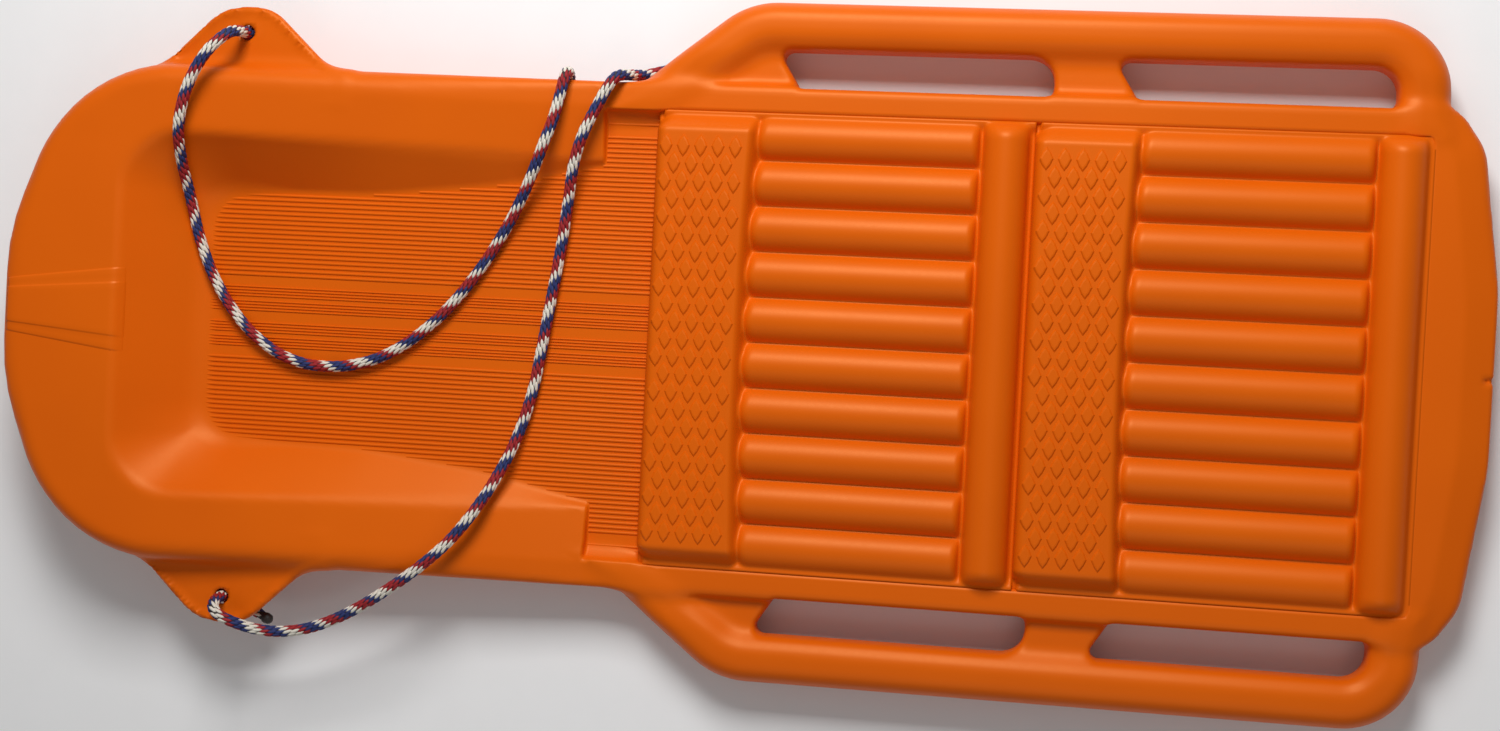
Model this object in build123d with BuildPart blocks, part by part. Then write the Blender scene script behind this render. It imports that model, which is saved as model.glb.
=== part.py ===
from build123d import *
import os
from math import asin, cos, hypot, pi, radians, sin, tan

# A two-rider toboggan. One blow-moulded plastic body, hollow between an upper and a lower
# skin, with a scooped foot well at the nose, two moulded seats, a hand rail down each
# side, and a braided tow rope through two lugs. The body is cut at its own creases into
# the features that a person would point at, and each cut leaves flush faces.
#
# Millimetres. +X runs to the stern, +Y to the riders' right, +Z up. The origin is on the
# ground, under the middle of the body.

# ---- body, overall
length = 1194.0
hull_width = 412.0
slot_width = 30.0  # hand hold between the hull and a rail
rail_width = 39.0
wall = 3.0  # each of the two skins

# ---- corners of the hull's plan, and the arcs that round them
nose_flat = 62.0  # half of the nearly straight front
nose_cheek_run = 24.0  # from the nose back to the cheek's corner
nose_cheek_inset = 68.0  # and from the side in to it
side_start = 77.0  # from the nose back to the straight sides
stern_shoulder = 36.0  # from the stern forward to the straight sides' end
stern_cheek_run = 15.0
stern_cheek_inset = 30.0
stern_flat = 60.0
hull_arcs = [220.0, 130.0, 125.0, 26.0, 45.0, 200.0]

# ---- heights above the ground
runner_height = 6.0  # the hull's underside
well_floor = 32.0  # valleys of the foot well's treads
parting_height = 36.0  # where the lower skin meets the upper one, along the seats
deck_height = 44.0
nose_parting = 75.0  # the same parting at the nose
nose_height = 95.0
rail_bottom = 12.0
rail_top = 46.0

# ---- lower skin
bow_run = 170.0  # length of the curve that lifts the bow
bilge_inset = 41.0  # each side leans in by this much towards the underside
transom_run = 40.0
runner_width = 22.0
runner_spacing = 210.0
runner_clear = 28.0  # from the bow curve and the transom to a runner's ends

# ---- seats
deck_margin = 23.0  # flat edge beside the seats
seat_pitch = 302.0
stern_margin = 57.5  # behind the rear seat
band_length = 79.0  # the raised band in front of the rolls
band_height = 12.0  # above the deck
rolls_length = 182.0
roll_count = 10
roll_rise = 12.0
roll_valley = 39.0
bar_length = 37.5
bar_height = 14.0  # above the deck
seat_skirt = 29.0  # underside of the seats' own walls

# ---- foot well
step_length = 45.0  # full-width tread in front of the first seat
rim_width = 58.0
nose_rim_width = 95.0
well_side_run = 43.0  # the side walls lean in by this much
well_nose_run = 55.0
well_flare = 33.0  # how much wider the well's floor is at its rear end
well_bend = 0.42  # share of the well's length where its sides start to flare
well_bend_side = 1.0  # and how far out they are there
well_bend_arc = 60.0
well_floor_corner = 33.0
well_mouth_corner = 50.0
tread_pitch = 3.95
tread_width = 2.4
tread_height = 1.0
fine_pitch = 2.5
fine_width = 1.4
plain_edge = 21.5  # flat gap inside the seats' line
nose_strip_rise = 1.5
nose_strip_front = 22.0  # half-width at the nose
nose_strip_back = 34.0  # half-width at the well

# ---- stern
stern_rim_length = 44.0
vent_diameter = 4.0

# ---- rails and lugs
rail_round = 11.0
slot_length = 200.0
rear_slot_length = 195.0
slot_rake = 19.0  # the slanted front end of a slot
bridge_length = 68.0  # solid web between the two slots
rear_web = 40.0
flare_start = 25.0  # behind the foot well's rim
flare_slope = 1.28  # length of the flare for each unit that it leans out
flare_arc = 70.0
rail_rear_arc = 55.0
rail_rear_lean = 5.0
slot_front_arc = 6.0
slot_rear_arc = 18.0
lug_from_nose = 187.0
lug_reach = 28.5  # hole centre, out from the hull
lug_root = 16.0  # how deep the lug's plan runs into the hull
lug_front = 108.0  # from the hole forward to the lug's start
lug_back = 100.0  # from the hole back to its end
lug_fair = 74.0  # where its rear edge turns along the hull
lug_flat = 41.0  # the tip's straight edge before its corners are rounded
lug_arcs = [0.0, 45.0, 36.0, 40.0, 0.0, 0.0]
lug_hole = 13.0
lug_tip = 21.5
lug_top = 58.0
lug_thickness = 8.0

# ---- tow rope
rope_diameter = 9.5
knot_diameter = 24.0
knot_height = 22.0
tail_length = 44.0

# ---- places that follow from those
nose_x = -length / 2
stern_x = length / 2
hull_half = hull_width / 2
seat_half = hull_half - deck_margin
slot_outer = hull_half + slot_width
rail_half = slot_outer + rail_width
seat_length = band_length + rolls_length + bar_length
rear_seat_x = stern_x - stern_margin - seat_length
front_seat_x = rear_seat_x - seat_pitch
rim_end = front_seat_x - step_length
stern_rim_x = stern_x - stern_rim_length
well_half = hull_half - rim_width - well_side_run
well_nose = nose_x + nose_rim_width + well_nose_run
tall = 3 * nose_height  # taller than anything here
ahead_x = nose_x - 2 * wall  # planes clear of the body's two ends
astern_x = stern_x + 2 * wall


def mirrored(points):
    """The points, then their mirror images in y, in reverse order."""
    return points + [(x, -y) for x, y in reversed(points)]


def rounded_face(points, radii):
    """A flat face inside a closed outline with rounded corners."""
    with BuildSketch() as sketch:
        with BuildLine():
            FilletPolyline(*points, radius=radii, close=True)
        make_face()
    return sketch.sketch


def rim_slope(nose_level, deck_level):
    """Ends of a line that starts ahead of the nose and falls to the rim's rear end."""
    fall = (nose_level - deck_level) / (rim_end - nose_x)
    return [(ahead_x, nose_level + fall * (nose_x - ahead_x)), (rim_end, deck_level)]


# ---- plan of the hull, without its rails and lugs
hull_half_plan = [
    (nose_x, nose_flat),
    (nose_x + nose_cheek_run, hull_half - nose_cheek_inset),
    (nose_x + side_start, hull_half),
    (stern_x - stern_shoulder, hull_half),
    (stern_x - stern_cheek_run, hull_half - stern_cheek_inset),
    (stern_x, stern_flat),
]
hull_plan = rounded_face(mirrored(hull_half_plan), hull_arcs + hull_arcs[::-1])


def hull_profile(inset):
    """Side view of the lower skin, shrunk by inset and open above."""
    rise = nose_parting - runner_height
    bow_radius = (bow_run**2 + rise**2) / (2 * rise)
    bow_x = nose_x + bow_run
    radius = bow_radius - inset
    sweep_angle = asin((bow_x - ahead_x) / radius)

    def on_bow(share):
        angle = sweep_angle * share
        z = runner_height + bow_radius - radius * cos(angle)
        return (bow_x - radius * sin(angle), z)

    transom_slope = transom_run / (parting_height - runner_height)
    back = inset * hypot(1.0, transom_slope)
    foot_x = stern_x - transom_run + transom_slope * inset - back
    lean_top = runner_height + inset + (astern_x - foot_x) / transom_slope
    with BuildSketch(Plane.XZ) as sketch:
        with BuildLine():
            ThreePointArc(on_bow(1.0), on_bow(0.5), on_bow(0.0))
            Polyline(on_bow(0.0), (foot_x, runner_height + inset), (astern_x, lean_top),
                     (astern_x, tall), (ahead_x, tall), on_bow(1.0))
        make_face()
    return sketch.sketch


def hull_section(inset):
    """Cross-section of the lower skin, shrunk by inset and open above."""
    lean = bilge_inset / (parting_height - runner_height)
    shift = inset * hypot(1.0, lean)
    floor = runner_height + inset
    foot = hull_half - bilge_inset + lean * inset - shift
    side = hull_half - inset
    knee = parting_height + (shift - inset) / lean
    with BuildSketch(Plane.YZ) as sketch:
        with BuildLine():
            Polyline(
                (-foot, floor), (foot, floor), (side, knee), (side, tall),
                (-side, tall), (-side, knee), close=True,
            )
        make_face()
    return sketch.sketch


# ---- the hollow above the lower skin
with BuildPart() as hull_hollow:
    with BuildSketch():
        add(hull_plan)
        offset(amount=-wall)
    extrude(amount=tall)
    extrude(hull_profile(wall), amount=hull_width, both=True, mode=Mode.INTERSECT)
    extrude(hull_section(wall), amount=length, both=True, mode=Mode.INTERSECT)

# ---- lower skin of the body
with BuildPart() as hull_bottom:
    with BuildSketch():
        add(hull_plan)
    extrude(amount=tall)
    extrude(hull_profile(0.0), amount=hull_width, both=True, mode=Mode.INTERSECT)
    extrude(hull_section(0.0), amount=length, both=True, mode=Mode.INTERSECT)
    with BuildSketch(Plane.XZ):
        with BuildLine():
            Polyline((astern_x, 0.0), (ahead_x, 0.0), *rim_slope(nose_parting, parting_height),
                     (astern_x, parting_height), close=True)
        make_face()
    extrude(amount=hull_width, both=True, mode=Mode.INTERSECT)
    add(hull_hollow.part, mode=Mode.SUBTRACT)
hull_bottom.part.label = "hull_bottom"

# ---- runners under the hull
runner_front = nose_x + bow_run + runner_clear
runner_back = stern_x - transom_run - runner_clear


def runner(side):
    """A straight ridge along the underside."""
    middle = ((runner_front + runner_back) / 2, side * runner_spacing / 2)
    with BuildPart() as ridge:
        with BuildSketch():
            with Locations(middle):
                SlotOverall(runner_back - runner_front, runner_width)
        extrude(amount=runner_height)
        fillet(ridge.edges().group_by(Axis.Z)[0], runner_height / 3)
    return ridge.part


left_runner = runner(-1)
left_runner.label = "left_runner"
right_runner = runner(1)
right_runner.label = "right_runner"

# ---- the well: the open space inside the foot well's walls
well_bottom = well_floor - wall


def well_outline(lean, corner):
    """Plan of the well's walls, opened out by a share of their lean."""
    x = well_nose - lean * well_nose_run
    y = well_half + lean * well_side_run
    rear = well_half + well_flare + lean * (well_side_run - well_flare)
    bend = well_nose + well_bend * (rim_end - well_nose)
    half = [(x, y), (bend, y + well_bend_side * (3.0 - 2.0 * lean)), (rim_end + wall, rear)]
    return rounded_face(mirrored(half), [corner, well_bend_arc, 0.0, 0.0, well_bend_arc, corner])


well_rise = nose_height - well_bottom
lean_at_top = well_rise / (nose_height - well_floor - 0.1 * nose_rim_width)


def well_block(grow):
    """Ruled space between the well's floor outline and its top, grown by grow."""
    with BuildPart() as block:
        with BuildSketch(Plane.XY.offset(well_bottom)):
            add(well_outline(0.0, well_floor_corner))
            if grow:
                offset(amount=grow, kind=Kind.INTERSECTION)
        with BuildSketch(Plane.XY.offset(nose_height)):
            add(well_outline(lean_at_top, well_mouth_corner))
            if grow:
                offset(amount=grow, kind=Kind.INTERSECTION)
        loft(ruled=True)
    return block.part


well_space = well_block(0.0)
well_walls = well_block(wall)

# ---- the hollow inside the nose rim
with BuildPart() as rim_hollow:
    with BuildSketch():
        add(hull_plan)
        offset(amount=-wall)
    extrude(amount=tall)
    with BuildSketch(Plane.XZ):
        with BuildLine():
            top = rim_slope(nose_height - wall, deck_height - wall)
            Polyline((rim_end - wall, 0.0), (ahead_x, 0.0), *top[:1],
                     (rim_end - wall, deck_height - wall), close=True)
        make_face()
    extrude(amount=hull_width, both=True, mode=Mode.INTERSECT)
    add(well_walls, mode=Mode.SUBTRACT)

# ---- what lies below the parting, outside the hull's hollow
with BuildPart() as lower_edge:
    with BuildSketch():
        add(hull_plan)
    extrude(amount=tall)
    with BuildSketch(Plane.XZ):
        with BuildLine():
            top = rim_slope(nose_parting, parting_height)
            Polyline((rim_end, 0.0), (ahead_x, 0.0), *top, close=True)
        make_face()
    extrude(amount=hull_width, both=True, mode=Mode.INTERSECT)
    add(hull_hollow.part, mode=Mode.SUBTRACT)

# ---- nose rim: a hollow horseshoe around the foot well
with BuildPart() as nose_rim:
    with BuildSketch():
        add(hull_plan)
    extrude(amount=tall)
    with BuildSketch(Plane.XZ):
        with BuildLine():
            top = rim_slope(nose_height, deck_height)
            Polyline((rim_end, well_bottom), (ahead_x, well_bottom), *top, close=True)
        make_face()
    extrude(amount=hull_width, both=True, mode=Mode.INTERSECT)
    add(rim_hollow.part, mode=Mode.SUBTRACT)
    add(well_space, mode=Mode.SUBTRACT)
    add(lower_edge.part, mode=Mode.SUBTRACT)
nose_rim.part.label = "nose_rim"

# ---- raised strip down the middle of the nose
with BuildPart() as nose_strip:
    with BuildSketch():
        with BuildLine():
            front, back = nose_x + 8.0, nose_x + nose_rim_width - 6.0
            Polyline((front, -nose_strip_front), (front, nose_strip_front),
                     (back, nose_strip_back), (back, -nose_strip_back), close=True)
        make_face()
    extrude(amount=tall)
    with BuildSketch(Plane.XZ):
        with BuildLine():
            low = rim_slope(nose_height, deck_height)
            high = [(x, z + nose_strip_rise) for x, z in reversed(low)]
            Polyline(*low, *high, close=True)
        make_face()
    extrude(amount=hull_width, both=True, mode=Mode.INTERSECT)
nose_strip.part.label = "nose_strip"

# ---- treads of the foot well, as one comb profile
coarse_first, coarse_last = 33.8, seat_half - plain_edge
coarse_count = int((coarse_last - coarse_first) / tread_pitch) + 1
coarse_rows = [coarse_last - i * tread_pitch for i in range(coarse_count)]
fine_rows = [start + i * fine_pitch for start in (5.3, 17.3) for i in range(4)]

with BuildPart() as tread_block:
    with BuildSketch(Plane.YZ):
        with Locations((0.0, well_bottom + wall / 2)):
            Rectangle(2 * seat_half, wall)
        base = well_floor + tread_height / 2
        with Locations(*[(side * y, base) for y in coarse_rows for side in (-1, 1)]):
            Rectangle(tread_width, tread_height)
        with Locations(*[(side * y, base) for y in fine_rows for side in (-1, 1)]):
            Rectangle(fine_width, tread_height)
    extrude(amount=length, both=True)

# ---- foot tray: the ribbed floor of the well and of the step before the first seat
with BuildPart() as foot_tray:
    add(well_space)
    with BuildSketch(Plane.XY.offset(well_bottom)):
        with Locations(((rim_end + front_seat_x) / 2, 0.0)):
            Rectangle(step_length, 2 * seat_half)
    extrude(amount=wall + tread_height)
    with BuildSketch(Plane.XY.offset(well_bottom)):
        with Locations(((nose_x + front_seat_x) / 2, 0.0)):
            Rectangle(front_seat_x - nose_x, hull_width)
    extrude(amount=tall, mode=Mode.INTERSECT)
    add(tread_block.part, mode=Mode.INTERSECT)
foot_tray.part.label = "foot_tray"

# ---- seat deck: the flat margins around both seats, with a lip down each opening
front_opening = ((rim_end + front_seat_x + seat_length) / 2, front_seat_x + seat_length - rim_end)
rear_opening = (rear_seat_x + seat_length / 2, seat_length)


def openings(mode, grow):
    """The plan of both seats and the step, grown by grow at the sides and at the stern."""
    for middle, span in (front_opening, rear_opening):
        with Locations((middle + grow / 2, 0.0)):
            Rectangle(span + grow, 2 * (seat_half + grow), mode=mode)


with BuildPart() as seat_deck:
    deck_length = stern_rim_x - rim_end
    deck_middle = (rim_end + stern_rim_x) / 2
    with BuildSketch(Plane.XY.offset(deck_height - wall)):
        with Locations((deck_middle, 0.0)):
            Rectangle(deck_length, hull_width)
        add(hull_plan, mode=Mode.INTERSECT)
        openings(Mode.SUBTRACT, 0.0)
    extrude(amount=wall)
    with BuildSketch(Plane.XY.offset(parting_height)):
        with Locations((deck_middle, 0.0)):
            Rectangle(deck_length, hull_width)
            Rectangle(deck_length, hull_width - 2 * wall, mode=Mode.SUBTRACT)
    extrude(amount=deck_height - wall - parting_height)
    with BuildSketch(Plane.XY.offset(seat_skirt)):
        openings(Mode.ADD, wall)
        openings(Mode.SUBTRACT, 0.0)
    extrude(amount=deck_height - wall - seat_skirt)
seat_deck.part.label = "seat_deck"


def seat_band(start):
    """Hollow raised band that carries a rider's thighs."""
    top = deck_height + band_height
    with BuildPart() as band:
        with BuildSketch(Plane.XY.offset(seat_skirt)):
            with Locations((start + band_length / 2, 0.0)):
                Rectangle(band_length, 2 * seat_half)
        extrude(amount=top - seat_skirt)
        fillet(band.edges().group_by(Axis.Z)[-1], 2 * wall)
        with BuildSketch(Plane.XY.offset(seat_skirt)):
            with Locations((start + band_length / 2, 0.0)):
                Rectangle(band_length - 2 * wall, 2 * (seat_half - wall))
        extrude(amount=top - wall - seat_skirt, mode=Mode.SUBTRACT)
    return band.part


def seat_rolls(start):
    """Row of half-round rolls, hollow underneath."""
    pitch = 2 * seat_half / roll_count
    radius = ((pitch / 2) ** 2 + roll_rise**2) / (2 * roll_rise)
    centre = roll_valley + roll_rise - radius
    under = roll_valley - wall
    rows = [(i + 0.5 - roll_count / 2) * pitch for i in range(roll_count)]
    with BuildPart() as rolls:
        with BuildSketch(Plane.YZ.offset(start)):
            with Locations(*[(y, centre) for y in rows]):
                Circle(radius)
            with Locations((0.0, roll_valley + tall / 2)):
                Rectangle(2 * seat_half, tall, mode=Mode.INTERSECT)
            with Locations((0.0, roll_valley - wall / 2)):
                Rectangle(2 * seat_half, wall)
            with Locations(*[(y, centre) for y in rows]):
                Circle(radius - wall, mode=Mode.SUBTRACT)
            with Locations((0.0, under + tall / 2)):
                Rectangle(2 * seat_half, tall, mode=Mode.INTERSECT)
        extrude(amount=rolls_length)
    return rolls.part


def back_bar(start):
    """Half-round bar behind the rolls, hollow and open underneath."""
    radius = bar_length / 2
    centre = deck_height + bar_height - radius
    with BuildPart() as bar:
        with BuildSketch(Plane.XZ):
            for size, mode in ((radius, Mode.ADD), (radius - wall, Mode.SUBTRACT)):
                with Locations((start + radius, centre)):
                    Circle(size, mode=mode)
                with Locations((start + radius, (centre + seat_skirt) / 2)):
                    Rectangle(2 * size, centre - seat_skirt, mode=mode)
            with Locations((start + radius, seat_skirt + tall / 2)):
                Rectangle(bar_length, tall, mode=Mode.INTERSECT)
        extrude(amount=seat_half, both=True)
    return bar.part


with BuildSketch() as inner_plan:
    add(hull_plan)
    offset(amount=-wall)

# ---- stern rim: the hollow edge behind the rear seat, with its blow-pin hole
with BuildPart() as stern_rim:
    with BuildSketch(Plane.XY.offset(parting_height)):
        with Locations((stern_rim_x + stern_rim_length / 2, 0.0)):
            Rectangle(stern_rim_length, hull_width)
        add(hull_plan, mode=Mode.INTERSECT)
    extrude(amount=deck_height - parting_height)
    with BuildSketch(Plane.XY.offset(parting_height)):
        with Locations((stern_rim_x + stern_rim_length / 2 + wall, 0.0)):
            Rectangle(stern_rim_length, hull_width)
        add(inner_plan.sketch, mode=Mode.INTERSECT)
    extrude(amount=deck_height - wall - parting_height, mode=Mode.SUBTRACT)
    vent_height = (parting_height + deck_height) / 2
    with BuildSketch(Plane.YZ.offset(stern_x - 2 * wall)):
        with Locations((0.0, vent_height)):
            Circle(vent_diameter / 2)
    extrude(amount=3 * wall, mode=Mode.SUBTRACT)
stern_rim.part.label = "stern_rim"

# ---- grab rails
rail_start = rim_end + flare_start
rail_end = stern_rim_x + 2.0
rear_slot_end = rail_end - rear_web
front_slot_end = rear_slot_end - rear_slot_length - bridge_length


def rail_plan(inset):
    """Plan of the right rail, its webs and its two slots, shrunk by inset."""
    flare_end = rail_start + flare_slope * (rail_half - hull_half)
    outer = [(rail_start, hull_half), (flare_end, rail_half),
             (rail_end - rail_rear_lean, rail_half), (rail_end, hull_half)]
    with BuildSketch() as sketch:
        add(rounded_face(outer, [0.0, flare_arc, rail_rear_arc, 0.0]))
        for end, span in ((front_slot_end, slot_length), (rear_slot_end, rear_slot_length)):
            begin = end - span
            slot = [(begin, hull_half), (begin - slot_rake, slot_outer), (end, slot_outer),
                    (end, hull_half)]
            add(rounded_face(slot, [0.0, slot_front_arc, slot_rear_arc, 0.0]), mode=Mode.SUBTRACT)
        if inset:
            offset(amount=-inset)
    return sketch.sketch


def rounded_rail(inset):
    """The right rail as one solid, shrunk by inset, with its long edges rounded."""
    with BuildPart() as rail:
        with BuildSketch(Plane.XY.offset(rail_bottom + inset)):
            add(rail_plan(inset))
        extrude(amount=rail_top - rail_bottom - 2 * inset)
        joint = rail.edges().filter_by_position(Axis.Y, hull_half - 0.1, hull_half + 0.1)
        for level in (0, -1):
            fillet(rail.edges().group_by(Axis.Z)[level] - joint, rail_round - inset)
    return rail.part


rail_skin = rounded_rail(0.0)
rail_hollow = rounded_rail(wall)

# ---- each rail is a hollow tube joined to the hull by three webs
with BuildPart() as right_grab_rail:
    add(rail_skin)
    add(rail_hollow, mode=Mode.SUBTRACT)
left_grab_rail = mirror(right_grab_rail.part, about=Plane.XZ)

# ---- tow lugs
lug_x = nose_x + lug_from_nose
lug_y = hull_half + lug_reach


def tow_lug():
    """The right lug, a flat ear at the parting with a hole for the rope."""
    tip = lug_y + lug_tip
    outline = [
        (lug_x - lug_front, hull_half - lug_root), (lug_x - lug_flat / 2, tip),
        (lug_x + lug_flat / 2, tip), (lug_x + lug_fair, hull_half),
        (lug_x + lug_back, hull_half), (lug_x + lug_back, hull_half - lug_root),
    ]
    with BuildPart() as lug:
        with BuildSketch(Plane.XY.offset(lug_top - lug_thickness)):
            add(rounded_face(outline, lug_arcs))
            add(hull_plan, mode=Mode.SUBTRACT)
            with Locations((lug_x, lug_y)):
                Circle(lug_hole / 2, mode=Mode.SUBTRACT)
        extrude(amount=lug_thickness)
    return lug.part


right_tow_lug = tow_lug()
left_tow_lug = mirror(right_tow_lug, about=Plane.XZ)

# ---- tow rope: it rises from the right knot, crosses the rim and the well, drops over the
# hull's edge to the ground, comes back, crosses the well again and ends at the left lug
knot_top = lug_top - lug_thickness
rope_route = [
    (lug_x, lug_y, knot_top),
    (lug_x, lug_y, 74.0),
    (-414.0, 228.0, 91.0),
    (-428.0, 211.0, 98.0),
    (-443.0, 184.0, 96.0),
    (-451.0, 152.0, 92.0),
    (-456.0, 124.0, 70.0),
    (-455.0, 97.0, 51.0),
    (-450.0, 64.0, 43.0),
    (-434.0, 24.0, 39.0),
    (-404.0, -14.0, 38.5),
    (-366.0, -37.0, 38.5),
    (-322.0, -40.0, 38.5),
    (-280.0, -27.0, 38.5),
    (-240.0, 4.0, 38.5),
    (-208.0, 44.0, 38.5),
    (-184.0, 84.0, 39.5),
    (-166.0, 118.0, 49.5),
    (-153.0, 148.0, 60.5),
    (-144.0, 176.0, 58.0),
    (-140.0, 196.0, 57.5),
    (-138.0, 209.6, 55.5),
    (-138.0, 212.6, 43.0),
    (-140.5, 211.0, 30.5),
    (-142.0, 204.0, 18.0),
    (-137.0, 197.0, 9.0),
    (-120.0, 193.0, 5.5),
    (-94.0, 193.5, 5.4),
    (-66.0, 197.0, 5.3),
    (-48.0, 200.0, 5.4),
    (-38.0, 209.0, 5.3),
    (-40.0, 219.0, 5.4),
    (-52.0, 223.0, 5.3),
    (-66.0, 220.5, 5.7),
    (-77.0, 217.0, 8.5),
    (-84.0, 214.5, 18.0),
    (-87.5, 212.8, 31.0),
    (-91.0, 211.8, 41.5),
    (-96.0, 209.3, 53.0),
    (-102.0, 200.0, 56.5),
    (-110.0, 184.0, 56.0),
    (-120.0, 163.0, 57.0),
    (-128.0, 138.0, 53.0),
    (-133.0, 108.0, 43.0),
    (-138.0, 70.0, 38.5),
    (-144.0, 30.0, 38.5),
    (-150.0, -12.0, 38.5),
    (-156.0, -52.0, 38.5),
    (-167.0, -90.0, 40.5),
    (-179.0, -120.0, 50.0),
    (-192.0, -148.0, 66.0),
    (-210.0, -173.0, 70.0),
    (-234.0, -196.0, 72.0),
    (-264.0, -219.0, 70.0),
    (-298.0, -241.0, 62.0),
    (-334.0, -257.0, 58.0),
    (-366.0, -260.0, 64.0),
    (-390.0, -252.0, 77.0),
    (-405.0, -243.0, 83.0),
    (lug_x, -lug_y, 70.0),
    (lug_x, -lug_y, knot_top),
]


def bend_radii(points):
    """Largest arc that fits at each inner point of a route."""
    radii = []
    for before, here, after in zip(points, points[1:], points[2:]):
        run_in = Vector(here) - Vector(before)
        run_out = Vector(after) - Vector(here)
        half_turn = radians(run_in.get_angle(run_out)) / 2
        shorter = min(run_in.length, run_out.length)
        radii.append(0.45 * shorter / tan(half_turn))
    return radii


rope_bends = bend_radii(rope_route)
with BuildPart() as tow_rope:
    with BuildLine() as rope_line:
        FilletPolyline(*rope_route, radius=rope_bends)
    with BuildSketch(Plane(origin=rope_route[0], z_dir=(0, 0, 1))):
        Circle(rope_diameter / 2)
    sweep()
tow_rope.part.label = "tow_rope"


def stopper_knot(side):
    """Outer shape of the knot that stops the rope under a lug."""
    with BuildPart() as knot:
        with BuildSketch(Plane.XY.offset(knot_top)):
            with Locations((lug_x, side * lug_y)):
                Circle(knot_diameter / 2)
        extrude(amount=-knot_height)
        fillet(knot.edges().filter_by(GeomType.CIRCLE), knot_height / 3)
    return knot.part


def rope_tail(side, swing):
    """The cut end that sticks out of a knot, turned outwards by swing degrees."""
    middle = (lug_x, side * lug_y, knot_top - knot_height / 2)
    heading = (cos(radians(swing)), side * sin(radians(swing)), 0.0)
    knot = stopper_knot(side)
    with BuildPart() as tail:
        with BuildSketch(Plane(origin=middle, z_dir=heading)):
            Circle(rope_diameter / 2)
        extrude(amount=tail_length)
        fillet(tail.faces().sort_by(Axis(middle, heading))[-1].edges(), rope_diameter / 4)
        add(knot, mode=Mode.SUBTRACT)
    return tail.part


pieces = {
    "hull_bottom": hull_bottom.part,
    "left_runner": left_runner,
    "right_runner": right_runner,
    "nose_rim": nose_rim.part,
    "nose_strip": nose_strip.part,
    "foot_tray": foot_tray.part,
    "seat_deck": seat_deck.part,
    "stern_rim": stern_rim.part,
    "left_grab_rail": left_grab_rail,
    "right_grab_rail": right_grab_rail.part,
    "left_tow_lug": left_tow_lug,
    "right_tow_lug": right_tow_lug,
    "tow_rope": tow_rope.part,
    "left_knot": stopper_knot(-1),
    "right_knot": stopper_knot(1),
    "left_rope_tail": rope_tail(-1, 28.0),
    "right_rope_tail": rope_tail(1, -165.0),
}
for name, start in (("front", front_seat_x), ("rear", rear_seat_x)):
    pieces[name + "_thigh_band"] = seat_band(start)
    pieces[name + "_seat_rolls"] = seat_rolls(start + band_length)
    pieces[name + "_back_bar"] = back_bar(start + band_length + rolls_length)

os.makedirs("parts", exist_ok=True)
for name, piece in pieces.items():
    piece.label = name
    export_step(piece, f"parts/{name}.step")

rope_length = rope_line.wires()[0].length
section = pi * rope_diameter**2 / 4
print("rope bend radii", [round(radius) for radius in rope_bends])
print("rope length", round(rope_length), "volume share",
      round(tow_rope.part.volume / (section * rope_length), 4))
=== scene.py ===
# %% [markdown]
# # A two-rider toboggan
#
# The real thing is one blow-moulded plastic shell with a foot well at the nose, two
# ribbed seats and a hand rail down each side, and a braided tow rope through two lugs.
# This file loads the measured model as a frame, then makes each piece as it is finished
# on the real object. All lengths are metres. The nose points to -X and up is +Z.

# %% Load the frame
from math import ceil, cos, pi, radians, sin, sqrt, tan

import bpy
import bmesh
import numpy as np
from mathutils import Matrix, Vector
from mathutils.bvhtree import BVHTree


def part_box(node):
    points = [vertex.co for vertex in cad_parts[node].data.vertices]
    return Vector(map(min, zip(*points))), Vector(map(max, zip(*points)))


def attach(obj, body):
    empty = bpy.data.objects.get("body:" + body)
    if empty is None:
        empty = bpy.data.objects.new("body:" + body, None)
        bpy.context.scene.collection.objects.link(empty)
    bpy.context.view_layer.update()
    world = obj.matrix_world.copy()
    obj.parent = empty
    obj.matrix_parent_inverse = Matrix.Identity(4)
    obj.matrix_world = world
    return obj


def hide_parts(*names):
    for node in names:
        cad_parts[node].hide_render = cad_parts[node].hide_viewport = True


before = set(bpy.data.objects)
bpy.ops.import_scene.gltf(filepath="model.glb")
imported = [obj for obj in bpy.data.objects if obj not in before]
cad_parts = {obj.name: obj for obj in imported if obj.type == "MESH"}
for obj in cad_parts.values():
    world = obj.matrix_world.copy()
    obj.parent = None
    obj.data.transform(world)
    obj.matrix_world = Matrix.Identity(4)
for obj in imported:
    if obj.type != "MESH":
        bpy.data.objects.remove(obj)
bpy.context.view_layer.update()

MM = 0.001
print("frame nodes:", len(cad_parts))

# %% [markdown]
# The camera comes first, because every later choice of detail is judged through it. It
# looks almost straight down from 1.6 m, leaning a little towards the nose, as a person
# would stand over a toboggan that lies on the floor.

# %% Camera
camera_data = bpy.data.cameras.new("overhead_camera")
camera_data.sensor_width = 36.0
camera_data.lens = 46.9
camera = bpy.data.objects.new("overhead_camera", camera_data)
camera.location = (0.2632, 0.0099, 1.5960)
camera.rotation_mode = "ZYX"
camera.rotation_euler = (radians(-1.05), radians(8.77), radians(3.14))
bpy.context.scene.collection.objects.link(camera)
bpy.context.scene.camera = camera
print("camera at", tuple(round(v, 3) for v in camera.location))

# %% [markdown]
# The rope's line is a smooth NURBS curve. Its control points go up through the right
# lug, over the rim, down into the well in a long loop, over the hull's edge to the
# floor and back, across the well again and out to the left lug. An order of 3 with the
# ends clamped keeps the line close to the points without sharp corners.

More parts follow.
